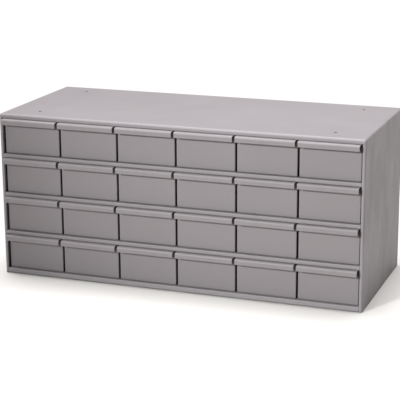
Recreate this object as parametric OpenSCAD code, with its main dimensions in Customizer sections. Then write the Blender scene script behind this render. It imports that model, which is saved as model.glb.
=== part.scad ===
// Parts bin cabinet: a welded sheet-steel case with rows of small drawers.
// Each drawer is a folded tray behind a front whose top edge is rolled into a full-width pull.
// Millimetres. X runs to the right, Y to the rear and Z up. The origin is on the floor,
// below the middle of the cabinet with its drawers shut.

/* [Cabinet] */
// Width over the two sides
cabinet_w = 857; // [700:1:1000]
// Depth from the front frame to the rear face
cabinet_d = 356; // [250:1:450]
// Height from the floor to the top
cabinet_h = 381; // [340:1:480]
// Drawers side by side
columns = 6; // [3:1:6]
// Rows of drawers
rows = 4; // [2:1:4]

/* [Front frame] */
// Width of the frame beside the outer drawers
stile_w = 7.6; // [7:0.1:16]
// Height of the frame above the top row
top_band_h = 10.7; // [8:0.1:20]
// Height of each rail between two rows
rail_h = 8.6; // [7.5:0.1:16]
// Height of the rail under the bottom row
bottom_rail_h = 10.8; // [8:0.1:20]
// Gap between the bottom rail and the floor
foot_gap = 1.7; // [1.7:0.1:5]
// Depth of the fold behind each rail's lower edge
rail_return = 8; // [5:0.5:11]
// Depth of the fold beside the outer drawers
stile_return = 10; // [5:0.5:20]

/* [Sheet metal] */
// Thickness of the cabinet's sheet
case_t = 0.9; // [0.7:0.1:1.2]
// Thickness of the drawers' sheet
drawer_t = 0.7; // [0.5:0.1:1]
// Inside radius of the casing's outer corners
corner_r = 4; // [1:0.1:4.5]
// Inside radius of every other fold
fold_r = 0.8; // [0.4:0.1:1]
// Width of the casing's flanges round the back panel
rear_flange_w = 16; // [10:0.5:24]
// Width of the flanges that the sides stand on
foot_flange_w = 14; // [8:0.5:24]
// Width of the shelf and upright flanges that are spot welded
weld_flange_w = 10; // [6:0.5:14]
// Clearance between sheets that slot or butt together
fit_gap = 0.2; // [0.1:0.05:0.3]

/* [Openings in the casing] */
// Diameter of the bolt holes in the top and bottom
hole_d = 7.1; // [4:0.1:10]
// Distance of the bolt holes from the casing's sides
hole_side_inset = 79.25; // [50:0.25:100]
// Distance of the bolt holes from the front and rear faces
hole_end_inset = 51; // [30:1:90]
// Height of the notch in each rear corner beside every row
notch_h = 10; // [5:0.5:20]
// Depth of those notches, into the side and into the rear flange
notch_deep = 4; // [3:0.1:6]

/* [Uprights] */
// Distance of the uprights' front edges behind the frame
upright_setback = 22; // [11.5:0.5:40]
// Width of the tabs that hold the uprights in the bottom panel
tab_w = 20; // [10:1:40]
// Length of tab that shows under the bottom panel
tab_below = 1.5; // [0.5:0.1:3]

/* [Drawer fronts] */
// Gap between two neighbouring fronts
front_gap = 4.2; // [2.4:0.1:6]
// Gap between the outer fronts and the frame
stile_gap = 2.4; // [0.5:0.1:4]
// Gap between the top of a front and the frame above it
head_gap = 0.4; // [0.4:0.1:3]
// How far the fronts lie behind the frame
recess = 8; // [0:0.5:10]
// Inside radius of the fronts' side edges
side_edge_r = 1.2; // [0.8:0.1:2.5]
// Depth of the flange behind each side edge
side_return = 16; // [8:0.5:30]
// Depth of the flange along the foot of a front
foot_return = 10; // [6:0.5:20]

/* [Pulls] */
// How far the pulls stand out from the frame
pull_out = 12; // [9:0.5:20]
// Height of a pull
pull_h = 13.2; // [11:0.1:24]
// Inside radius of a pull's upper front edge
pull_r = 3.3; // [1.5:0.1:5]
// Inside radius of the curl along a pull's lower edge
curl_r = 1.5; // [0.8:0.1:2]
// Length of sheet past the curl
curl_leg = 2.4; // [1:0.1:4]

/* [Trays] */
// Height of a tray's sides
tray_h = 70; // [30:1:72]
// Clearance under a tray
tray_lift = 0.3; // [0.3:0.1:1]
// Clearance behind a shut tray
close_gap = 0.5; // [0.3:0.1:2]
// Inside radius of the hems along the tops of the sides
hem_r = 0.3; // [0.2:0.1:0.6]
// Height of those hems
hem_h = 6; // [4:0.5:12]
// Width of the stop that rises from a tray's back
stop_w = 44; // [20:1:80]
// How far the stop overlaps the frame behind it
stop_overlap = 4; // [2:0.5:6]
// Radius of the stop's upper corners
stop_corner_r = 4; // [1:0.5:8]

/* [Hidden] */
$fn = 48;
enamel = [0.60, 0.585, 0.59];
front_enamel = [0.53, 0.51, 0.515];

// Outside radii of the folds
corner_out = corner_r + case_t;
fold_out = fold_r + case_t;
tray_fold_out = fold_r + drawer_t;
side_edge_out = side_edge_r + drawer_t;

// Length that a bend shares with the flat beside it, and the slit that frees a bend at a corner
lap = 0.1;
relief = 0.5;

// Sheets that share out a width or a height are cut to a whole tenth of a millimetre
function whole_tenths(length) = floor(10 * length + 0.001) / 10;

// Rows: each sill is the upper face of the sheet that a row of drawers slides on
bottom_sill = foot_gap + bottom_rail_h;
opening_h = whole_tenths((cabinet_h - top_band_h - bottom_sill - (rows - 1) * rail_h) / rows);
row_pitch = opening_h + rail_h;
function sill(row) = bottom_sill + (rows - row) * row_pitch;
band_h = cabinet_h - sill(1) - opening_h;

// Columns: the fronts share the width between the stiles
frame_half = cabinet_w / 2 - stile_w;
front_w = whole_tenths((2 * (frame_half - stile_gap) - (columns - 1) * front_gap) / columns);
column_pitch = front_w + front_gap;
function column_x(column) = (column - (columns + 1) / 2) * column_pitch;
function upright_x(i) = (i - columns / 2) * column_pitch;

// Depths, from the face of the front frame
front_y = (pull_out - cabinet_d) / 2;
back_inner_y = cabinet_d - 2 * case_t;
lap_y = cabinet_d / 2;
shelf_step_y = stile_return + fit_gap;
tray_front_y = recess + side_edge_out;
tray_rear_y = back_inner_y - case_t - close_gap;

// Drawer heights, from the sill
front_foot = tray_lift + drawer_t;
front_top = opening_h - head_gap;
pull_fold = front_top - tray_fold_out;
tray_w = front_w - 2 * drawer_t;
tray_top = tray_lift + tray_h;
stop_top = opening_h + stop_overlap;

// Drawers slide this far before the stop meets the fold behind the frame
travel = tray_rear_y - drawer_t - rail_return - close_gap;

tab_ys = [upright_setback + tab_w / 2, lap_y - tab_w / 2, back_inner_y - weld_flange_w - 1.5 * tab_w];

function front_name(row, column) = str("drawer_r", row, "c", column, "_front");
function tray_name(row, column) = str("drawer_r", row, "c", column, "_tray");

// ---- Folded sheet ----

// A quarter or half ring about the origin: the bend of a sheet that turns by `turn` degrees.
// Each end runs a little way into the flat sheet beside it, so that the two are one solid.
module bend(r, t, turn) {
    sheet_y = turn > 0 ? -r - t : r;
    rotate(turn > 0 ? -90 : 90 + turn)
        intersection() {
            difference() {
                circle(r + t);
                circle(r);
            }
            for (quarter = [0:90:abs(turn) - 90]) rotate(quarter) square(r + t);
        }
    translate([-lap, sheet_y]) square([lap, t]);
    rotate(turn) translate([0, sheet_y]) square([lap, t]);
}

// A folded sheet seen from its edge. Each step is [length, turn, inside radius]: a straight run,
// then a bend to the left (turn > 0) or right (turn < 0). A turn of 0 ends the sheet.
// The sheet lies on the left of its path, which starts at the origin along +X.
module folded(steps, t, i = 0) {
    run = steps[i][0];
    turn = steps[i][1];
    r = steps[i][2];
    centre = turn > 0 ? t + r : -r;
    if (run > 0) square([run, t]);
    if (turn != 0)
        translate([run, centre]) {
            bend(r, t, turn);
            rotate(turn) translate([0, -centre]) folded(steps, t, i + 1);
        }
}

// Extrusions between two stations: sections are drawn in YZ, XZ and XY
module along_x(x0, x1) translate([x0, 0, 0]) rotate([90, 0, 90]) linear_extrude(x1 - x0) children();
module along_y(y0, y1) translate([0, y1, 0]) rotate([90, 0, 0]) linear_extrude(y1 - y0) children();
module along_z(z0, z1) translate([0, 0, z0]) linear_extrude(z1 - z0) children();

module both_sides() {
    children();
    mirror([1, 0, 0]) children();
}

module centred_x(w, h0, h1) translate([-w / 2, h0]) square([w, h1 - h0]);

// ---- Casing ----

// Top and sides as one sheet, with the flanges that it stands on
module wrapper() {
    foot_run = foot_flange_w - fold_out;
    side_run = cabinet_h - fold_out - corner_out;
    top_run = cabinet_w - 2 * corner_out;
    along_y(corner_out, cabinet_d - corner_out)
        translate([foot_flange_w - cabinet_w / 2, case_t]) rotate(180)
            folded([
                [foot_run, -90, fold_r],
                [side_run, -90, corner_r],
                [top_run, -90, corner_r],
                [side_run, -90, fold_r],
                [foot_run, 0, 0]
            ], case_t);
}

// The bends that turn the wrapper's front edges in, ending in a rounded corner each side
module corner_bends() {
    corner_x = cabinet_w / 2 - corner_out;
    corner_z = cabinet_h - corner_out;
    along_x(-corner_x, corner_x)
        translate([corner_out, corner_z]) rotate(180) bend(corner_r, case_t, 90);
    both_sides() {
        along_z(0, corner_z) translate([corner_x, corner_out]) bend(corner_r, case_t, 90);
        translate([corner_x, corner_out, corner_z])
            intersection() {
                difference() {
                    sphere(corner_out);
                    sphere(corner_r);
                }
                translate([0, -corner_out, 0]) cube(corner_out);
            }
    }
}

// A flange round the sides and top of an opening, in XZ
module rim(side_w, top_h) {
    difference() {
        centred_x(cabinet_w - 2 * corner_out, 0, cabinet_h - corner_out);
        centred_x(cabinet_w - 2 * side_w, -1, cabinet_h - top_h);
    }
}

module front_frame() {
    corner_bends();
    along_y(0, case_t) rim(stile_w - fold_out, band_h - fold_out);
    along_x(relief - frame_half, frame_half - relief)
        translate([0, cabinet_h - band_h + fold_out]) rotate(-90)
            folded([[0, 90, fold_r], [rail_return - fold_out, 0, 0]], case_t);
    both_sides()
        along_z(0, cabinet_h - band_h - relief)
            translate([frame_half + fold_out, case_t]) rotate(180)
                folded([[0, -90, fold_r], [stile_return - fold_out, 0, 0]], case_t);
}

module rear_frame() {
    translate([0, cabinet_d, 0]) mirror([0, 1, 0]) corner_bends();
    along_y(cabinet_d - case_t, cabinet_d) rim(rear_flange_w, rear_flange_w);
}

module bolt_holes(sheet_top) {
    for (y = [hole_end_inset, cabinet_d - hole_end_inset])
        both_sides()
            translate([cabinet_w / 2 - hole_side_inset, y, sheet_top - 2 * case_t])
                cylinder(d = hole_d, h = 3 * case_t);
}

module corner_notches() {
    both_sides()
        for (row = [1:rows])
            translate([cabinet_w / 2 - notch_deep, cabinet_d - notch_deep, sill(row) + (opening_h - notch_h) / 2])
                cube([notch_deep + 1, notch_deep + 1, notch_h]);
}

module casing() {
    color(enamel)
        difference() {
            union() {
                wrapper();
                front_frame();
                rear_frame();
            }
            bolt_holes(cabinet_h);
            corner_notches();
        }
}

// ---- Panels inside the casing ----

module back_panel() {
    inset = max(corner_out, notch_deep) + 1;
    color(enamel)
        along_y(back_inner_y, cabinet_d - case_t)
            centred_x(cabinet_w - 2 * inset, foot_gap, cabinet_h - inset);
}

// A full-width pan whose front edge is folded down into a rail. Its ends turn down against the
// casing's sides, its rear edge turns up against the back panel, and its rear corners are cut
// away, clear of the casing's bends.
module pan(top, rail) {
    difference() {
        pan_sheet(top, rail);
        both_sides()
            translate([cabinet_w / 2 - corner_out, cabinet_d - corner_out, top - weld_flange_w - 1])
                cube([corner_out, corner_out, 2 * weld_flange_w + 2]);
    }
}

module pan_sheet(top, rail) {
    end_x = cabinet_w / 2 - case_t - fit_gap;
    along_x(fit_gap - frame_half, frame_half - fit_gap)
        translate([rail_return, top - rail + case_t]) rotate(180)
            folded([
                [rail_return - fold_out, -90, fold_r],
                [rail - 2 * fold_out, -90, fold_r],
                [shelf_step_y - fold_out, 0, 0]
            ], case_t);
    along_y(shelf_step_y, back_inner_y - fold_out)
        translate([case_t - end_x, top - weld_flange_w]) rotate(90)
            folded([
                [weld_flange_w - fold_out, -90, fold_r],
                [2 * (end_x - fold_out), -90, fold_r],
                [weld_flange_w - fold_out, 0, 0]
            ], case_t);
    along_x(fold_out - end_x, end_x - fold_out)
        translate([back_inner_y - fold_out, top - case_t])
            folded([[0, 90, fold_r], [weld_flange_w - fold_out, 0, 0]], case_t);
}

// Cuts from the rear edge that let the uprights through
module upright_slots(top, from_y) {
    w = case_t + 2 * fit_gap;
    for (i = [1:columns - 1])
        translate([upright_x(i) - w / 2, from_y, top - case_t - 1])
            cube([w, cabinet_d - from_y, weld_flange_w + case_t + 2]);
}

module bottom_panel() {
    slot_w = case_t + 2 * fit_gap;
    slot_l = tab_w + 2 * fit_gap;
    color(enamel)
        difference() {
            pan(bottom_sill, bottom_rail_h);
            upright_slots(bottom_sill, back_inner_y - fold_out - 1);
            for (i = [1:columns - 1], y = tab_ys)
                translate([upright_x(i) - slot_w / 2, y - slot_l / 2, bottom_sill - 2 * case_t])
                    cube([slot_w, slot_l, 3 * case_t]);
            bolt_holes(bottom_sill);
        }
}

module shelf(i) {
    top = sill(i);
    color(enamel)
        difference() {
            pan(top, rail_h);
            upright_slots(top, lap_y);
        }
}

// A full-height sheet between two columns. It laps through the shelves, which enter its slots
// from the front, and its tabs stand in the bottom panel.
module upright(i) {
    rear_y = back_inner_y - fit_gap;
    bend_z = cabinet_h - case_t - fold_out;
    right_face = upright_x(i) + case_t / 2;
    color(enamel) {
        along_x(right_face - case_t, right_face)
            difference() {
                union() {
                    translate([upright_setback, bottom_sill])
                        square([rear_y - upright_setback, bend_z - bottom_sill]);
                    for (y = tab_ys)
                        translate([y - tab_w / 2, bottom_sill - case_t - tab_below])
                            square([tab_w, 2 * case_t + tab_below]);
                }
                for (row = [1:rows - 1])
                    translate([upright_setback - 1, sill(row) - case_t - fit_gap])
                        square([lap_y + fit_gap - upright_setback + 1, case_t + 2 * fit_gap]);
            }
        along_y(upright_setback, cabinet_d - corner_out)
            translate([right_face, bend_z]) rotate(90)
                folded([[0, -90, fold_r], [weld_flange_w - fold_out, 0, 0]], case_t);
    }
}

// ---- Drawers ----

// Shape of a drawer front, with the sill at z = 0 and the frame's face at y = 0. One sheet makes
// the foot, the face and the pull, and below the pull its sides turn back behind the face.
module front_shape() {
    flat_half = front_w / 2 - side_edge_out;
    foot_half = tray_w / 2 - tray_fold_out;
    face_foot = front_foot + tray_fold_out;
    top_run = pull_out + recess - fold_r - pull_r - drawer_t;
    drop_run = pull_h - pull_r - curl_r - 2 * drawer_t;
    difference() {
        along_x(-front_w / 2, front_w / 2)
            translate([recess + foot_return, front_foot + drawer_t]) rotate(180)
                folded([
                    [foot_return - tray_fold_out, -90, fold_r],
                    [pull_fold - face_foot, 90, fold_r],
                    [top_run, 90, pull_r],
                    [drop_run, 180, curl_r],
                    [curl_leg, 0, 0]
                ], drawer_t);
        both_sides() {
            translate([flat_half, recess - relief, 0])
                cube([side_edge_out + relief, foot_return + 2 * relief, pull_fold]);
            translate([foot_half, recess + tray_fold_out, 0]) cube([front_w / 2, foot_return, face_foot]);
        }
    }
    both_sides()
        along_z(face_foot, pull_fold - relief)
            translate([flat_half, recess])
                folded([[0, 90, side_edge_r], [side_return - side_edge_out, 0, 0]], drawer_t);
}

// The plate of a tray's back, with the stop that keeps the drawer in the cabinet, in XZ
module back_outline() {
    centred_x(tray_w - 2 * tray_fold_out, tray_lift + tray_fold_out, tray_top);
    centred_x(stop_w, tray_top - 1, stop_top - stop_corner_r);
    centred_x(stop_w - 2 * stop_corner_r, tray_top - 1, stop_top);
    for (x = [stop_corner_r - stop_w / 2, stop_w / 2 - stop_corner_r])
        translate([x, stop_top - stop_corner_r]) circle(stop_corner_r);
}

// Shape of a tray: floor and hemmed sides from one sheet, and a back with rounded corners
module tray_shape() {
    hem_out = hem_r + drawer_t;
    wall_foot = tray_lift + tray_fold_out;
    wall_run = tray_top - hem_out - wall_foot;
    hem_run = hem_h - hem_out;
    corner_y = tray_rear_y - tray_fold_out;
    corner_x = tray_w / 2 - tray_fold_out;
    along_y(tray_front_y, corner_y)
        translate([2 * hem_out - tray_w / 2, tray_top - hem_h]) rotate(90)
            folded([
                [hem_run, 180, hem_r],
                [wall_run, 90, fold_r],
                [2 * corner_x, 90, fold_r],
                [wall_run, 180, hem_r],
                [hem_run, 0, 0]
            ], drawer_t);
    along_x(-corner_x, corner_x)
        translate([corner_y, tray_lift]) folded([[0, 90, fold_r], [0, 0, 0]], drawer_t);
    along_y(tray_rear_y - drawer_t, tray_rear_y) back_outline();
    both_sides()
        along_z(wall_foot, tray_top - hem_out)
            translate([corner_x, corner_y]) rotate(90) bend(fold_r, drawer_t, 90);
}

module in_bay(row, column) translate([column_x(column), 0, sill(row)]) children();

module drawer_front(row, column) color(front_enamel) in_bay(row, column) front_shape();

module drawer_tray(row, column) color(front_enamel) in_bay(row, column) tray_shape();

// ---- Assembly ----

module place() translate([0, front_y, 0]) children();

place() casing();
place() back_panel();
place() bottom_panel();
for (i = [1:rows - 1])
    place() shelf(i);
for (i = [1:columns - 1])
    place() upright(i);
for (row = [1:rows], column = [1:columns]) {
    place() drawer_front(row, column);
    place() drawer_tray(row, column);
}
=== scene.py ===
import math

import bmesh
import bpy
import numpy as np
from mathutils import Matrix, Vector


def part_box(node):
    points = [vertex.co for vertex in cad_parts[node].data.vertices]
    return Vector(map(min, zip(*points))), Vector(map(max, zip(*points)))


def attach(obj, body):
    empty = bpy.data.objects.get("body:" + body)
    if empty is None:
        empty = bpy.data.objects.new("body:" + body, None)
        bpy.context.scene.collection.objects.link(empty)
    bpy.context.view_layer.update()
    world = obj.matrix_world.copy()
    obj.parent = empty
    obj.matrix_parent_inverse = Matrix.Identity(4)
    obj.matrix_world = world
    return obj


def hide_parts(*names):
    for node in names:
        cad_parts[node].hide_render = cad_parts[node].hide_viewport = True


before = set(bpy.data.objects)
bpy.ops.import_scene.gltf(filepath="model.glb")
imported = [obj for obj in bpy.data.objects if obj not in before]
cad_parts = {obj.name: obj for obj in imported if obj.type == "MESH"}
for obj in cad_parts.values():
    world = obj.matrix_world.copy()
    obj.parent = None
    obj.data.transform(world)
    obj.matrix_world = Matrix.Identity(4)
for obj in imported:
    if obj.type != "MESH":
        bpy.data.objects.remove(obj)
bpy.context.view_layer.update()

# ---- Casing ----
# The cabinet's top and two sides are one sheet of 20 gauge steel, wrapped over two long bends.
# Its front edges are folded into the frame round the drawers and its rear edges into flanges for
# the back panel. It stands on the folded lower edges of its sides, and is enamelled in one coat.
MM = 0.001
casing_low, casing_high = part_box("casing")
width = casing_high.x - casing_low.x
height = casing_high.z
front_y, rear_y = casing_low.y, casing_high.y
sheet = 0.9 * MM
corner_radius = 4 * MM
fold_radius = 0.8 * MM
corner_out = corner_radius + sheet
fold_out = fold_radius + sheet
stile_width = 7.6 * MM
band_height = 10.7 * MM
rear_flange = 16 * MM
foot_flange = 14 * MM
stile_return = 10 * MM
band_return = 8 * MM
relief = 0.5 * MM
cut_edge = 0.22 * MM
bend_steps, ease_steps = 8, 3


def folded(steps, thickness, start, heading):
    """Path of a folded sheet seen from its edge, as points and the normals to its left.

    Each step is (length, turn, inside radius). A straight run adds length x (cos, sin) of the
    heading. A bend turns the normal n by equal angles, and its points are
    centre - side x reach x n, where reach is the distance from the path to the bend's centre:
    the inside radius, plus the thickness where the sheet lies on the inside of the bend.
    """
    at, angle = np.array(start, float), math.radians(heading)
    left = np.array([-math.sin(angle), math.cos(angle)])
    points, normals = [at[None]], [left[None]]
    for length, turn, radius in steps:
        along = np.array([left[1], -left[0]])
        if length > 0:
            at = at + length * along
            points.append(at[None])
            normals.append(left[None])
        if turn:
            side = math.copysign(1, turn)
            reach = radius + thickness if turn > 0 else radius
            centre = at + side * reach * left
            count = round(bend_steps * abs(turn) / 90)
            turned = np.radians(turn) * np.linspace(0, 1, count + 1)[1:]
            cos, sin = np.cos(turned), np.sin(turned)
            n = np.stack([cos * left[0] - sin * left[1], sin * left[0] + cos * left[1]], axis=1)
            points.append(centre - side * reach * n)
            normals.append(n)
            at, left = points[-1][-1], n[-1]
    return np.concatenate(points), np.concatenate(normals)


def section_loop(path, thickness, inset, cut):
    """Closed loop round a sheet's cross-section, lying `inset` inside its surface.

    The two long sides are point + inset x normal and point + (thickness - inset) x normal. At a
    cut end each corner is a quarter circle of radius cut_edge - inset about a point that lies
    cut_edge inside both the sheet's end and its face. An end that joins another sheet is square.
    """
    points, normals = path
    tail = (points[0] - points[1]) / np.linalg.norm(points[0] - points[1])
    head = (points[-1] - points[-2]) / np.linalg.norm(points[-1] - points[-2])
    base = points.copy()
    base[0] -= cut_edge * cut[0] * tail
    base[-1] -= cut_edge * cut[1] * head
    turn = np.linspace(0, math.pi / 2, ease_steps + 1)[1:, None]

    def corner(end, out, normal, is_cut, far, from_out):
        depth = cut_edge if is_cut else inset
        centre = end + (thickness - depth if far else depth) * normal
        away = normal if far else -normal
        a, b = (out, away) if from_out else (away, out)
        return centre + (cut_edge - inset) * is_cut * (np.cos(turn) * a + np.sin(turn) * b)

    near, far = base + inset * normals, base + (thickness - inset) * normals
    return np.concatenate([
        near,
        corner(base[-1], head, normals[-1], cut[1], False, False),
        corner(base[-1], head, normals[-1], cut[1], True, True),
        far[::-1],
        corner(base[0], tail, normals[0], cut[0], True, False),
        corner(base[0], tail, normals[0], cut[0], False, True),
    ])


def swept_shell(rings, strip):
    """A closed shell from rings of equal length. Neighbouring rings are joined point by point.
    Each end ring is closed by quads between its two long sides of `strip` points, and by one
    face across the rounding at either end of them."""
    count, size = rings.shape[:2]
    index = np.arange(count * size).reshape(count, size)
    following = np.roll(index, -1, axis=1)
    walls = np.stack([index[:-1], following[:-1], following[1:], index[1:]], axis=2).reshape(-1, 4)
    faces = walls.tolist()
    rounding = (size - 2 * strip) // 2
    here = np.arange(strip - 1)
    there = 2 * strip + rounding - 1 - here
    for ring in (index[0], index[-1]):
        across = [ring[here], ring[there], ring[there - 1], ring[here + 1]]
        faces += np.stack(across, axis=1).tolist()
        faces.append(ring[strip - 1:strip + rounding + 1].tolist())
        faces.append([*ring[2 * strip + rounding - 1:].tolist(), int(ring[0])])
    return rings.reshape(-1, rings.shape[2]), faces


def stations(low, high, cut, between):
    """Places along a sweep and how far the section is drawn in at each. At a cut end these follow
    a quarter circle: cut_edge x (1 - sin) along the sweep and cut_edge x (1 - cos) inwards."""
    quarter = np.linspace(math.pi / 2, 0, ease_steps + 1)
    at, inset = cut_edge * (1 - np.sin(quarter)), cut_edge * (1 - np.cos(quarter))
    start = (low + at, inset) if cut[0] else (np.array([low]), np.zeros(1))
    end = (high - at[::-1], inset[::-1]) if cut[1] else (np.array([high]), np.zeros(1))
    return (np.concatenate([start[0], between, end[0]]),
            np.concatenate([start[1], np.zeros(len(between)), end[1]]))


def extruded(axis, path, thickness, low, high, ends=(True, True), edges=(True, True), between=()):
    """A folded sheet carried straight along an axis. Its ends along the axis and the edges of its
    section are eased where they are cut. The section's two coordinates are the other two axes in
    order: point = (section, station)."""
    places, insets = stations(low, high, ends, between)
    loops = np.stack([section_loop(path, thickness, inset, edges) for inset in insets])
    along = np.broadcast_to(places[:, None, None], loops.shape[:2] + (1,))
    first, second = loops[..., :1], loops[..., 1:]
    order = {"x": (along, first, second), "y": (first, along, second), "z": (first, second, along)}
    return swept_shell(np.concatenate(order[axis], axis=2), len(path[0]))


def mirrored(shell):
    """The same shell on the other side of the middle plane, x -> -x."""
    points, faces = shell
    return points * (-1, 1, 1), faces


same_point, no_length = 1e-6, 1e-7


def closed_mesh(shell):
    """A mesh from one closed shell: doubles merged, faces turned outwards."""
    points, faces = shell
    mesh = bpy.data.meshes.new("sheet")
    mesh.from_pydata(points.tolist(), [], faces)
    work = bmesh.new()
    work.from_mesh(mesh)
    bmesh.ops.remove_doubles(work, verts=work.verts, dist=same_point)
    bmesh.ops.dissolve_degenerate(work, edges=work.edges, dist=no_length)
    bmesh.ops.recalc_face_normals(work, faces=work.faces)
    work.to_mesh(mesh)
    work.free()
    return mesh


def together(meshes):
    """One mesh from several, which are used up."""
    work = bmesh.new()
    for mesh in meshes:
        work.from_mesh(mesh)
        bpy.data.meshes.remove(mesh)
    whole = bpy.data.meshes.new("sheets")
    work.to_mesh(whole)
    work.free()
    return whole


def combined(operation, mesh, other):
    """The exact boolean DIFFERENCE or UNION of two closed meshes, which are used up."""
    holders = [bpy.data.objects.new("combining", m) for m in (mesh, other)]
    for holder in holders:
        bpy.context.scene.collection.objects.link(holder)
    step = holders[0].modifiers.new("combine", "BOOLEAN")
    step.operation, step.solver, step.object = operation, "EXACT", holders[1]
    graph = bpy.context.evaluated_depsgraph_get()
    result = bpy.data.meshes.new_from_object(holders[0].evaluated_get(graph))
    for holder in holders:
        bpy.data.objects.remove(holder)
    for used in (mesh, other):
        bpy.data.meshes.remove(used)
    return result


def one_sheet(shells):
    """One closed mesh from the stretches of a folded sheet, which meet face to face."""
    whole, *rest = [closed_mesh(shell) for shell in shells]
    for mesh in rest:
        whole = combined("UNION", whole, mesh)
    return whole


sharp_from, flats_weight = math.radians(40), 90


def piece(name, mesh, material, body, replaced):
    """One enamelled object on its body, in the place of the solids that `replaced` names. It is
    shaded so that only its bends and eased edges look round."""
    mesh.name = name
    mesh.shade_smooth()
    mesh.set_sharp_from_angle(angle=sharp_from)
    mesh.materials.clear()
    mesh.materials.append(material)
    made = bpy.data.objects.new(name, mesh)
    bpy.context.scene.collection.objects.link(made)
    flats = made.modifiers.new("flats stay flat", "WEIGHTED_NORMAL")
    flats.weight = flats_weight
    flats.keep_sharp = True
    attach(made, body)
    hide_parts(*replaced)
    return made


def smooth(share):
    """Smooth step, 3t^2 - 2t^3 of a share t that is held between 0 and 1."""
    share = np.clip(share, 0, 1)
    return share * share * (3 - 2 * share)


def on_inner_face(beyond, radius, thickness):
    """0 on the outer face of a sheet that is bent round a rounded outline, 1 on its inner face.

    beyond holds how far points lie past the centres of the outline's rounding along each axis, so
    their depth inside it is radius - |beyond held above 0| - min(max(beyond), 0). The step runs
    from 0.2 to 0.8 of the thickness.
    """
    past_centres = np.linalg.norm(np.maximum(beyond, 0), axis=0)
    depth = radius - past_centres - np.minimum(beyond.max(axis=0), 0)
    return smooth((depth / thickness - 0.2) / 0.6)


def set_painted_shade(made, painted_shade_of):
    """Keep on each vertex how deep it lies in painted shade, from 0 to 1."""
    points = np.empty(3 * len(made.data.vertices), np.float32)
    made.data.vertices.foreach_get("co", points)
    values = painted_shade_of(*points.reshape(-1, 3).T.astype(float)).astype(np.float32)
    painted_shade = made.data.attributes.new("painted_shade", "FLOAT", "POINT")
    painted_shade.data.foreach_set("value", values)


def group(name, inputs, outputs):
    """An empty shader node group with named sockets. Returns it with its two ends."""
    tree = bpy.data.node_groups.new(name, "ShaderNodeTree")
    for label, kind, value in inputs:
        socket = tree.interface.new_socket(label, in_out="INPUT", socket_type=kind)
        if value is not None:
            socket.default_value = value
    for label, kind in outputs:
        tree.interface.new_socket(label, in_out="OUTPUT", socket_type=kind)
    return tree, tree.nodes.new("NodeGroupInput").outputs, tree.nodes.new("NodeGroupOutput").inputs


def node(tree, kind, values=None, **settings):
    """One node with its settings, and with values or links on its inputs."""
    made = tree.nodes.new(kind)
    for key, value in settings.items():
        setattr(made, key, value)
    for key, value in (values or {}).items():
        if isinstance(value, bpy.types.NodeSocket):
            tree.links.new(value, made.inputs[key])
        else:
            made.inputs[key].default_value = value
    return made


def worked_out(tree, operation, *values, clamp=False):
    """The result of one Math node."""
    values = dict(enumerate(values))
    return node(tree, "ShaderNodeMath", values, operation=operation, use_clamp=clamp).outputs[0]


def ramp(tree, value, start, end, low=0, high=1, shape="LINEAR"):
    """A value carried from start..end to low..high, and held between those two."""
    values = {"Value": value, "From Min": start, "From Max": end, "To Min": low, "To Max": high}
    return node(tree, "ShaderNodeMapRange", values, interpolation_type=shape).outputs[0]


def noise(tree, vector, scale, detail, roughness=0.5, distortion=0):
    """The value of one noise texture, which lies between 0 and 1 and is 0.5 on average."""
    values = {"Vector": vector, "Scale": scale, "Detail": detail,
              "Roughness": roughness, "Distortion": distortion}
    return node(tree, "ShaderNodeTexNoise", values).outputs["Fac"]


def scaled(tree, colour, share):
    """A colour made lighter or darker: colour x share."""
    values = {0: colour, "Scale": share}
    return node(tree, "ShaderNodeVectorMath", values, operation="SCALE").outputs[0]


def feeding(socket):
    """The output that is linked to an input."""
    return socket.links[0].from_socket


FLOAT, VECTOR, COLOUR = "NodeSocketFloat", "NodeSocketVector", "NodeSocketColor"

# Sprayed and baked enamel is never quite level: a soft orange peel of 1 to 3 mm, over the faint
# waves of rolled sheet that only its reflections show.
enamel_relief, given, result = group(
    "enamel relief",
    [("Vector", VECTOR, None), ("Waves", FLOAT, 0.5)],
    [("Height", FLOAT)],
)
peel = noise(enamel_relief, given["Vector"], 420, 2, 0.45)
waves = noise(enamel_relief, given["Vector"], 9, 1, 0.3)
raised = worked_out(enamel_relief, "MULTIPLY_ADD", waves, given["Waves"], peel)
enamel_relief.links.new(raised, result["Height"])

# The colour of a baked coat drifts by a few hundredths over a hand's width, and it holds a fine
# speck of pigment. Its gloss drifts with it.
enamel_tone, given, result = group(
    "enamel tone",
    [("Vector", VECTOR, None), ("Colour", COLOUR, None), ("Drift", FLOAT, 0.06)],
    [("Colour", COLOUR), ("Gloss", FLOAT)],
)
speck_share = 0.35
cloud = noise(enamel_tone, given["Vector"], 7, 3)
speck = noise(enamel_tone, given["Vector"], 900, 2, 0.6)
mixed = worked_out(enamel_tone, "MULTIPLY_ADD", speck, speck_share, cloud)
centred = worked_out(enamel_tone, "SUBTRACT", mixed, (1 + speck_share) / 2)
shade = worked_out(enamel_tone, "MULTIPLY_ADD", centred, given["Drift"], 1)
enamel_tone.links.new(scaled(enamel_tone, given["Colour"], shade), result["Colour"])
enamel_tone.links.new(ramp(enamel_tone, mixed, 0.4, 0.95, -0.03, 0.03), result["Gloss"])
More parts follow.
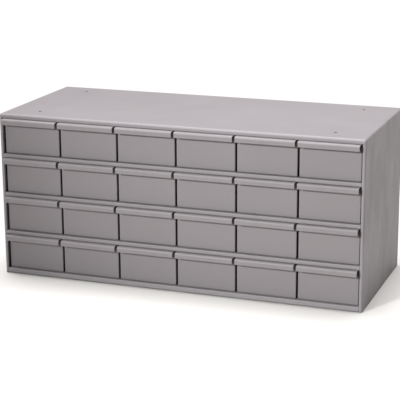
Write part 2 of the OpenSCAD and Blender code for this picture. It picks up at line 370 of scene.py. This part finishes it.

# Painted shade: the colour is darkened, with a ragged edge, where a surface lies in shade: in
# hollows, in slots and inside the cabinet. The mask is 0 in the open and 1 deep inside.
painted_shading, given, result = group(
    "painted shading",
    [("Vector", VECTOR, None), ("Colour", COLOUR, None),
     ("Shade mask", FLOAT, 0), ("Darkening", FLOAT, 0.86)],
    [("Colour", COLOUR)],
)
fringe = noise(painted_shading, given["Vector"], 260, 3, 0.6)
ragged = ramp(painted_shading, fringe, 0.3, 0.7, 0.82, 1.12)
shade_cover = worked_out(painted_shading, "MULTIPLY", given["Shade mask"], ragged, clamp=True)
darkened = worked_out(painted_shading, "MULTIPLY", shade_cover, given["Darkening"])
brightness_left = worked_out(painted_shading, "SUBTRACT", 1, darkened)
painted_shading.links.new(scaled(painted_shading, given["Colour"], brightness_left), result["Colour"])

# Spray passes leave upright bands on the large sides, a hand's width apart with finer ones
# between. At an amount of 1 they are about a tenth lighter and darker.
spray_bands, given, result = group(
    "spray bands",
    [("Vector", VECTOR, None), ("Colour", COLOUR, None),
     ("Facing", FLOAT, 1), ("Amount", FLOAT, 0.1)],
    [("Colour", COLOUR)],
)
bands_per_metre = (2.0, 15.0, 6.5)
stretched = node(spray_bands, "ShaderNodeVectorMath",
                 {0: given["Vector"], 1: bands_per_metre}, operation="MULTIPLY").outputs[0]
banding = noise(spray_bands, stretched, 1, 3, 0.6, 0.3)
even = worked_out(spray_bands, "SUBTRACT", banding, 0.5)
swing = worked_out(spray_bands, "MULTIPLY", even, given["Amount"])
sided = worked_out(spray_bands, "MULTIPLY_ADD", swing, given["Facing"], 1)
spray_bands.links.new(scaled(spray_bands, given["Colour"], sided), result["Colour"])

# Fine dust settles on what faces up, in soft patches with scattered grains, and dulls the gloss.
settled_dust, given, result = group(
    "settled dust",
    [("Vector", VECTOR, None), ("Colour", COLOUR, None),
     ("Facing up", FLOAT, 1), ("Amount", FLOAT, 0.1)],
    [("Colour", COLOUR), ("Gloss", FLOAT)],
)
dust_colour, dust_dulls = (0.42, 0.40, 0.37, 1), 0.4
patches = ramp(settled_dust, noise(settled_dust, given["Vector"], 22, 4, 0.65), 0.35, 0.7, 0.15, 1)
cells = node(settled_dust, "ShaderNodeTexVoronoi", {"Vector": given["Vector"], "Scale": 650})
grains = ramp(settled_dust, cells.outputs["Distance"], 0.16, 0.06, 0, 0.7)
level = ramp(settled_dust, given["Facing up"], 0.5, 0.95)
lying = worked_out(settled_dust, "ADD", patches, grains)
upward = worked_out(settled_dust, "MULTIPLY", lying, level)
cover = worked_out(settled_dust, "MULTIPLY", upward, given["Amount"], clamp=True)
dusted = node(settled_dust, "ShaderNodeMix",
              {0: cover, 6: given["Colour"], 7: dust_colour}, data_type="RGBA").outputs[2]
dulled = worked_out(settled_dust, "MULTIPLY", cover, dust_dulls)
settled_dust.links.new(dusted, result["Colour"])
settled_dust.links.new(dulled, result["Gloss"])

# Spot welds hold the rear flanges to the back panel. Each is a round dimple, and they stand in a
# line round the flange at equal spacing.
peel_depth, weld_depth = 0.02 * MM, 0.12 * MM
weld_spacing, weld_radius, weld_inset = 64 * MM, 2.6 * MM, 8.5 * MM
weld_floor = 0.6 * weld_radius
spot_welds, given, result = group(
    "spot welds",
    [("Vector", VECTOR, None), ("Height", FLOAT, 0),
     ("Line x", FLOAT, 0), ("Line z", FLOAT, 0), ("Rear", FLOAT, 0)],
    [("Height", FLOAT)],
)
at = node(spot_welds, "ShaderNodeSeparateXYZ", {0: given["Vector"]}).outputs


def along_line(source):
    """Distance along a line of welds from the nearest one: mod(source, spacing) - spacing / 2."""
    lap = worked_out(spot_welds, "FLOORED_MODULO", source, weld_spacing)
    return worked_out(spot_welds, "SUBTRACT", lap, weld_spacing / 2)


def from_weld(off_line, on_line):
    """Distance from the nearest weld of a line: the length of (off_line, on_line)."""
    away = node(spot_welds, "ShaderNodeCombineXYZ", {0: off_line, 1: on_line}).outputs[0]
    return node(spot_welds, "ShaderNodeVectorMath", {0: away}, operation="LENGTH").outputs["Value"]


from_middle = worked_out(spot_welds, "ABSOLUTE", at["X"])
beside = worked_out(spot_welds, "SUBTRACT", from_middle, given["Line x"])
below = worked_out(spot_welds, "SUBTRACT", at["Z"], given["Line z"])
nearest = worked_out(
    spot_welds, "MINIMUM",
    from_weld(beside, along_line(at["Z"])), from_weld(below, along_line(at["X"])),
)
dimple = ramp(spot_welds, nearest, weld_radius, weld_floor,
              low=0, high=-weld_depth / peel_depth, shape="SMOOTHSTEP")
behind = worked_out(spot_welds, "GREATER_THAN", at["Y"], given["Rear"])
dented = worked_out(spot_welds, "MULTIPLY_ADD", dimple, behind, given["Height"])
spot_welds.links.new(dented, result["Height"])


def enamel(name, colour, roughness, dust, bands=0.0, painted_shade=None):
    """Baked enamel on steel sheet: a satin coat whose colour passes through the tone, the spray
    bands, a painted shade and the dust, over the peel. A piece that isn't given one value for
    its painted shade carries its own as an attribute."""
    material = bpy.data.materials.new(name)
    material.use_nodes = True
    tree = material.node_tree
    shader = tree.nodes["Principled BSDF"]
    shader.inputs["IOR"].default_value = 1.5
    shader.inputs["Specular IOR Level"].default_value = 0.25
    surface = node(tree, "ShaderNodeTexCoord", name="surface").outputs
    place = surface["Object"]
    facing = node(tree, "ShaderNodeSeparateXYZ", {0: surface["Normal"]}).outputs
    aside = worked_out(tree, "ABSOLUTE", facing["X"])
    if painted_shade is None:
        painted_shade = node(tree, "ShaderNodeAttribute", attribute_name="painted_shade").outputs["Fac"]
    tone = node(tree, "ShaderNodeGroup", {
        "Vector": place, "Colour": (*colour, 1),
    }, node_tree=enamel_tone).outputs
    banded = node(tree, "ShaderNodeGroup", {
        "Vector": place, "Colour": tone["Colour"], "Facing": aside, "Amount": bands,
    }, node_tree=spray_bands).outputs
    thinned = node(tree, "ShaderNodeGroup", {
        "Vector": place, "Colour": banded["Colour"], "Shade mask": painted_shade,
    }, node_tree=painted_shading, name="painted shading").outputs
    dusty = node(tree, "ShaderNodeGroup", {
        "Vector": place, "Colour": thinned["Colour"], "Facing up": facing["Z"], "Amount": dust,
    }, node_tree=settled_dust).outputs
    tree.links.new(dusty["Colour"], shader.inputs["Base Color"])
    clean = worked_out(tree, "ADD", tone["Gloss"], roughness)
    tree.links.new(worked_out(tree, "ADD", clean, dusty["Gloss"]), shader.inputs["Roughness"])
    relief_of = node(tree, "ShaderNodeGroup", {"Vector": place}, node_tree=enamel_relief).outputs
    bump = node(tree, "ShaderNodeBump", {
        "Height": relief_of["Height"], "Distance": peel_depth,
    }, name="peel")
    tree.links.new(bump.outputs["Normal"], shader.inputs["Normal"])
    return material


casing_enamel = enamel("casing enamel", (0.225, 0.208, 0.213), 0.46, dust=0.04, bands=1.0)
tree = casing_enamel.node_tree
peel_height = tree.nodes["peel"].inputs["Height"]
welded = node(tree, "ShaderNodeGroup", {
    "Vector": tree.nodes["surface"].outputs["Object"], "Height": feeding(peel_height),
    "Line x": width / 2 - weld_inset, "Line z": height - weld_inset, "Rear": rear_y - sheet,
}, node_tree=spot_welds)
tree.links.new(welded.outputs["Height"], peel_height)


def wrapped_skin():
    """The sheet round the cabinet's top and sides, with its flanges at the front and rear.

    Its section lies in the plane of depth and of distance a in from the outer face. It is carried
    round the rectangle that lies corner_out inside the cabinet's outline: up the left side, round
    a quarter circle of normals n, along the top and down the right side. A section point with
    a <= corner_out goes to base + (corner_out - a) x n. A flange point further in goes to
    base + share x (inner corner - base), so that the flanges meet at square inner corners.
    """
    front_end, rear_end = stile_width - fold_out, rear_flange
    path = folded([
        (front_end - corner_out, -90, corner_radius),
        (rear_y - front_y - 2 * corner_out, -90, corner_radius),
        (rear_end - corner_out, 0, 0),
    ], sheet, (front_end, sheet), 180)
    loop = section_loop(path, sheet, 0, (False, True))
    inward, depth = loop[:, 0], loop[:, 1]
    at_front = depth < corner_out
    across = np.where(at_front, front_end, rear_end) - corner_out
    down = np.where(at_front, band_height - fold_out, rear_end) - corner_out
    share = np.clip((inward - corner_out) / across, 0, None)[None, :, None]
    out = (corner_out - np.minimum(inward, corner_out))[None, :, None]

    half, top = width / 2 - corner_out, height - corner_out
    turn = np.linspace(0, math.pi / 2, bend_steps + 1)
    normal = np.concatenate([[(-1, 0)], np.stack([-np.cos(turn), np.sin(turn)], axis=1)])
    base = np.array([(-half, fold_out)] + [(-half, top)] * len(turn))
    lowered = np.array([0.0] + [1.0] * len(turn))
    to_corner = np.stack([
        np.broadcast_to(across, (len(base), len(across))), -lowered[:, None] * down,
    ], axis=2)
    left = base[:, None] + out * normal[:, None] + share * to_corner
    place = np.concatenate([left, left[::-1] * (-1, 1)])
    y = np.broadcast_to(front_y + depth[None, :, None], place.shape[:2] + (1,))
    return swept_shell(np.concatenate([place[..., :1], y, place[..., 1:]], axis=2), len(path[0]))


def foot_shells():
    """The left side's lower edge, folded in flat on the floor between the ends of the two long
    corner bends, which run straight down to the floor as short posts."""
    foot = folded([(foot_flange - fold_out, -90, fold_radius)],
                  sheet, (foot_flange - width / 2, sheet), 180)
    front_post = folded([(stile_width - fold_out - corner_out, -90, corner_radius)],
                        sheet, (stile_width - fold_out - width / 2, front_y + sheet), 180)
    rear_post = folded([(rear_flange - corner_out, 90, corner_radius)],
                       sheet, (rear_flange - width / 2, rear_y), 180)
    return [
        extruded("y", foot, sheet, front_y + corner_out, rear_y - corner_out, edges=(True, False)),
        extruded("z", front_post, sheet, 0, fold_out, (True, False), (False, False)),
        extruded("z", rear_post, sheet, 0, fold_out, (True, False), (True, False)),
    ]


def frame_returns():
    """The folds behind the frame's inner edges: one along the top band, and the left stile's,
    which ends inside the thickness of the folded foot."""
    def fold(depth, start, heading):
        return folded([(0, 90, fold_radius), (depth - fold_out, 0, 0)], sheet, start, heading)

    band = fold(band_return, (front_y, height - band_height + fold_out), -90)
    stile = fold(stile_return, (stile_width - fold_out - width / 2, front_y), 0)
    half = width / 2 - stile_width - relief
    return (
        extruded("x", band, sheet, -half, half, edges=(False, True)),
        extruded("z", stile, sheet, sheet / 2, height - band_height - relief, edges=(False, True)),
    )


hole_diameter = 7.1 * MM
hole_side_inset, hole_end_inset = 79.25 * MM, 51 * MM
hole_sides, flare_steps = 48, 4


def bolt_hole(x, y):
    """Cutter for one bolt hole in the top: a profile of (radius, height) turned about the upright
    axis, flared by quarter circles where the hole's edges are eased."""
    radius = hole_diameter / 2
    turn = np.linspace(0, math.pi / 2, flare_steps + 1)
    flare = np.stack([
        radius + cut_edge * (1 - np.sin(turn)), cut_edge * (1 - np.cos(turn)),
    ], axis=1)
    upper = flare * (1, -1) + (0, height)
    lower = flare[::-1] + (0, height - sheet)
    above, below = height + sheet, height - 2 * sheet
    profile = np.concatenate([
        [(0, above), (upper[0, 0], above)], upper, lower, [(lower[-1, 0], below), (0, below)],
    ])
    angle = np.linspace(0, 2 * math.pi, hole_sides, endpoint=False)
    r, z = profile[:, :1], profile[:, 1:]
    rings = np.stack([x + r * np.cos(angle), y + r * np.sin(angle), z + 0 * angle], axis=2)
    index = np.arange(rings.size // 3).reshape(rings.shape[:2])
    following = np.roll(index, -1, axis=1)
    faces = np.stack([index[:-1], following[:-1], following[1:], index[1:]], axis=2).reshape(-1, 4)
    return rings.reshape(-1, 3), faces.tolist()


def block(low, high):
    """A box between two corners, as the product of its three pairs of coordinates."""
    points = np.stack(np.meshgrid(*zip(low, high), indexing="ij"), axis=-1).reshape(-1, 3)
    faces = [[0, 1, 3, 2], [4, 5, 7, 6], [0, 1, 5, 4], [2, 3, 7, 6], [0, 2, 6, 4], [1, 3, 7, 5]]
    return points, faces


holes = [
    bolt_hole(side * (width / 2 - hole_side_inset), y)
    for side in (-1, 1)
    for y in (front_y + hole_end_inset, rear_y - hole_end_inset)
]

# A notch in each rear corner, halfway up every row
running_gap = 0.3 * MM
notch_deep, notch_height, past = 4 * MM, 10 * MM, 1 * MM
sills = [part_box(f"drawer_r{row}c1_tray")[0].z - running_gap for row in (1, 2, 3, 4)]
opening_height = height - band_height - sills[0]
notches = [
    block((width / 2 - notch_deep, rear_y - notch_deep, sill + (opening_height - notch_height) / 2),
          (width / 2 + past, rear_y + past, sill + (opening_height + notch_height) / 2))
    for sill in sills
]
cutters = together([closed_mesh(s) for s in holes + notches + [mirrored(s) for s in notches]])
left_side = foot_shells()
band_fold, stile_fold = frame_returns()
uncut = one_sheet([wrapped_skin(), *left_side, *[mirrored(s) for s in left_side],
                   band_fold, stile_fold, mirrored(stile_fold)])
casing_shell = piece("casing_shell", combined("DIFFERENCE", uncut, cutters),
                     casing_enamel, "cabinet", ["casing"])


frame_shade = 6 * MM


def casing_painted_shade(x, y, z):
    """Painted shade on the sheet's inner face, full from a few millimetres behind the frame."""
    centre_y, half_depth = (front_y + rear_y) / 2, (rear_y - front_y) / 2
    beyond = np.stack([
        abs(x) - (width / 2 - corner_out),
        abs(y - centre_y) - (half_depth - corner_out),
        z - (height - corner_out),
    ])
    inner = on_inner_face(beyond, corner_out, sheet)
    return inner * smooth((y - front_y - fold_out) / frame_shade)


set_painted_shade(casing_shell, casing_painted_shade)

# ---- Inner panels ----
# The back, the bottom, three shelves and five uprights are flat sheets with narrow flanges, spot
# welded inside the casing before the whole is enamelled. Behind the frame they are darker, as
# painted shade inside the cabinet, except the back panel.
shade_from, shade_full = 8 * MM, 24 * MM
inner_enamel = enamel("inner enamel", (0.235, 0.217, 0.222), 0.5, dust=0.12, painted_shade=0)
tree = inner_enamel.node_tree
place = tree.nodes["surface"].outputs["Object"]
inwards = node(tree, "ShaderNodeSeparateXYZ", {0: place}).outputs["Y"]
# Painted shade: darker from shade_from behind the frame, fully so at shade_full, not on the back
# panel.
past_front = ramp(tree, inwards, front_y + shade_from, front_y + shade_full)
before_rear = worked_out(tree, "LESS_THAN", inwards, rear_y - 1.5 * sheet)
painted_shade_inside = worked_out(tree, "MULTIPLY", past_front, before_rear)
tree.links.new(painted_shade_inside, tree.nodes["painted shading"].inputs["Shade mask"])
for name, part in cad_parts.items():
    if not name.startswith("drawer") and name != "casing":
        part.data.materials.clear()
        part.data.materials.append(inner_enamel)

# ---- Drawer trays ----
# Each tray is one sheet of 22 gauge steel, folded up into a floor, two sides with closed hems
# along their tops, and a back whose middle rises into the stop. Small parts dragged over the
# floor leave fine bright scratches.
# The whole tray is darkened a little as painted shade, since it lies inside the cabinet.
tray_enamel = enamel("tray enamel", (0.194, 0.178, 0.181), 0.5, dust=0.2, painted_shade=0.3)
tree = tray_enamel.node_tree
tray_colour = tree.nodes["Principled BSDF"].inputs["Base Color"]
place = tree.nodes["surface"].outputs["Object"]
scratches_per_metre = (26, 640, 90)
scratched = feeding(tray_colour)
worn = ramp(tree, noise(tree, place, 14, 2), 0.42, 0.68)
for heading in (15, -35, 80):
    turned = node(tree, "ShaderNodeMapping", {
        "Vector": place, "Rotation": (0, 0, math.radians(heading)), "Scale": scratches_per_metre,
    }).outputs[0]
    hair = ramp(tree, noise(tree, turned, 1, 1), 0.64, 0.72, 0, 0.35)
    lighter = worked_out(tree, "MULTIPLY_ADD", hair, worn, 1)
    scratched = scaled(tree, scratched, lighter)
tree.links.new(scratched, tray_colour)
for name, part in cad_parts.items():
    if name.endswith("_tray"):
        part.data.materials.clear()
        part.data.materials.append(tray_enamel)

# ---- Drawer fronts ----
# Each front is one folded sheet, welded over the tray's sides. Its face turns back at both sides
# and at the foot, and its top edge is rolled forward and down into the pull, whose ends are
# trimmed a little and whose free edge curls in and up, clear of fingers. Hands polish its middle.
front_enamel = enamel("front enamel", (0.196, 0.179, 0.182), 0.44, dust=0.06)
tree = front_enamel.node_tree
front_colour = tree.nodes["Principled BSDF"].inputs["Base Color"]
front_roughness = tree.nodes["Principled BSDF"].inputs["Roughness"]
place = tree.nodes["surface"].outputs["Object"]
at = node(tree, "ShaderNodeSeparateXYZ", {0: place}).outputs
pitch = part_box("drawer_r1c2_front")[0].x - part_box("drawer_r1c1_front")[0].x
polish_smooths, polish_darkens = 0.08, 0.05
lap = worked_out(tree, "FLOORED_MODULO", at["X"], pitch)
off_middle = worked_out(tree, "ABSOLUTE", worked_out(tree, "SUBTRACT", lap, pitch / 2))
central = ramp(tree, off_middle, 55 * MM, 12 * MM, shape="SMOOTHSTEP")
forward = ramp(tree, at["Y"], front_y - 3 * MM, front_y - 8 * MM)
touched = ramp(tree, noise(tree, place, 55, 3), 0.4, 0.62)
on_pull = worked_out(tree, "MULTIPLY", central, forward)
handled = worked_out(tree, "MULTIPLY", on_pull, touched)
smoother = worked_out(tree, "MULTIPLY_ADD", handled, -polish_smooths, feeding(front_roughness))
darker = worked_out(tree, "MULTIPLY_ADD", handled, -polish_darkens, 1)
tree.links.new(smoother, front_roughness)
tree.links.new(scaled(tree, feeding(front_colour), darker), front_colour)

front_sheet = 0.7 * MM
front_fold_out = fold_radius + front_sheet
side_edge_radius = 1.2 * MM
side_edge_out = side_edge_radius + front_sheet
side_return = 16 * MM
foot_return = 10 * MM
pull_height = 13.2 * MM
pull_radius = 3.3 * MM
pull_trim = 0.9 * MM
curl_radius = 1.5 * MM
curl_leg = 2.4 * MM
shade_depth, shade_below, shade_rows = 4 * MM, 8 * MM, 5


def front_shells(low, high):
    """One front, as high as its box and centred at x = 0: the face and its side flanges from a
    section in plan, and the foot and the pull from sections in side view."""
    half = (high.x - low.x) / 2
    flat = half - side_edge_out
    foot_half = half - front_sheet - front_fold_out
    face_y = high.y - side_return
    foot_z, pull_z = low.z + front_fold_out, high.z - front_fold_out
    plan = folded([
        (side_return - side_edge_out - shade_depth, 0, 0),
        (shade_depth, 90, side_edge_radius),
        (2 * flat, 90, side_edge_radius),
        (shade_depth, 0, 0),
        (side_return - side_edge_out - shade_depth, 0, 0),
    ], front_sheet, (-half, face_y + side_return), -90)
    foot = folded([(foot_return - front_fold_out, -90, fold_radius)],
                  front_sheet, (face_y + foot_return, low.z + front_sheet), 180)
    pull = folded([
        (0, 90, fold_radius),
        (face_y - low.y - fold_radius - pull_radius - front_sheet, 90, pull_radius),
        (pull_height - pull_radius - curl_radius - 2 * front_sheet, 180, curl_radius),
        (curl_leg, 0, 0),
    ], front_sheet, (face_y + front_sheet, pull_z), 90)
    strip = folded([(relief, 0, 0)], front_sheet, (face_y + front_sheet, pull_z - relief), 90)
    return [
        extruded("z", plan, front_sheet, foot_z, pull_z - relief, (False, False),
                 between=high.z - pull_height - shade_below * np.linspace(1, 0, shade_rows)),
        extruded("x", foot, front_sheet, -foot_half, foot_half, edges=(True, False)),
        extruded("x", pull, front_sheet, pull_trim - half, half - pull_trim, edges=(False, True)),
        extruded("x", strip, front_sheet, -flat, flat, (False, False), (False, False)),
    ]


def front_painted_shade(y, z, low, high):
    """Painted shade on the flanges behind the face, fully so at shade_depth, and in the hollow of
    the pull. The hollow's mouth slants from the pull's lip down to shade_below under it on the
    face."""
    face_y, bend = high.y - side_return, pull_radius + front_sheet
    behind = smooth((y - face_y - front_fold_out) / shade_depth)
    beyond = np.stack([low.y + bend - y, z - (high.z - bend)])
    inner = on_inner_face(beyond, bend, front_sheet)
    mouth = high.z - pull_height - shade_below * (y - low.y) / (face_y - low.y)
    return np.maximum(behind, inner * smooth((z - mouth) / shade_below))


first_low, first_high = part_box("drawer_r1c1_front")
folded_front = one_sheet(front_shells(first_low, first_high))
for name in sorted(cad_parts):
    if name.endswith("_front"):
        low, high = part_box(name)
        body = name.removesuffix("_front")
        mesh = folded_front.copy()
        mesh.transform(Matrix.Translation(((low.x + high.x) / 2, 0, low.z - first_low.z)))
        face = piece(f"{body}_face", mesh, front_enamel, body, [name])
        # Each face carries its painted shade, in the slots and the pull's hollow, as an attribute.
        set_painted_shade(face, lambda x, y, z: front_painted_shade(y, z, low, high))
bpy.data.meshes.remove(folded_front)

# ---- Floor, light and camera ----
# A pale, slightly warm studio floor under a broad overhead light, with a weaker, narrower one in
# front to the left.
reach = 60
floor_corners = [(-reach, -reach, 0), (reach, -reach, 0), (reach, reach, 0), (-reach, reach, 0)]
floor_mesh = bpy.data.meshes.new("floor")
floor_mesh.from_pydata(floor_corners, [], [(0, 1, 2, 3)])
floor = bpy.data.objects.new("floor", floor_mesh)
bpy.context.scene.collection.objects.link(floor)
floor_paint = bpy.data.materials.new("floor paint")
floor_paint.use_nodes = True
paint = floor_paint.node_tree.nodes["Principled BSDF"].inputs
paint["Base Color"].default_value = (0.495, 0.485, 0.46, 1)
paint["Roughness"].default_value = 0.9
floor_mesh.materials.append(floor_paint)

world = bpy.data.worlds.new("studio")
bpy.context.scene.world = world
world.use_nodes = True
background = world.node_tree.nodes["Background"].inputs
background["Color"].default_value = (1, 1, 1, 1)
background["Strength"].default_value = 0.10

overhead = bpy.data.lights.new("overhead", "SUN")
overhead.energy = 6.4
overhead.color = (1.0, 0.99, 1.02)
overhead.angle = math.radians(40)
overhead_lamp = bpy.data.objects.new("overhead", overhead)
overhead_lamp.rotation_euler = (math.radians(-4), math.radians(-3), 0)
bpy.context.scene.collection.objects.link(overhead_lamp)

key = bpy.data.lights.new("front key", "SPOT")
key.energy = 680
key.color = (0.98, 1.0, 1.02)
key.spot_size = math.radians(38)
key.spot_blend = 1.0
key.shadow_soft_size = 0.22
key_lamp = bpy.data.objects.new("front key", key)
key_lamp.location = (-1.15, -3.4, 1.6)
aimed = np.array([0.56, front_y, 0.31]) - np.array(key_lamp.location)
key_lamp.rotation_euler = Vector(aimed.tolist()).to_track_quat("-Z", "Y").to_euler()
bpy.context.scene.collection.objects.link(key_lamp)

camera_data = bpy.data.cameras.new("camera")
camera_data.sensor_width = 36
camera_data.lens = 124.36
camera = bpy.data.objects.new("camera", camera_data)
bpy.context.scene.collection.objects.link(camera)
bpy.context.scene.camera = camera
azimuth, elevation, roll = math.radians(20.28), math.radians(15.28), math.radians(-0.35)
distance = 3.03302
aim = np.array([0.05949, front_y, 0.21942])
right = np.array([math.cos(azimuth), math.sin(azimuth), 0])
outward = np.array([math.sin(azimuth), -math.cos(azimuth), 0])
back = outward * math.cos(elevation) + np.array([0, 0, math.sin(elevation)])
up = np.cross(back, right)
pose = np.eye(4)
pose[:3, 0] = right * math.cos(roll) + up * math.sin(roll)
pose[:3, 1] = up * math.cos(roll) - right * math.sin(roll)
pose[:3, 2] = back
pose[:3, 3] = aim + distance * back
camera.matrix_world = Matrix(pose.tolist())
camera_data.clip_start, camera_data.clip_end = 0.05, 200

bpy.context.scene.view_settings.view_transform = "Standard"
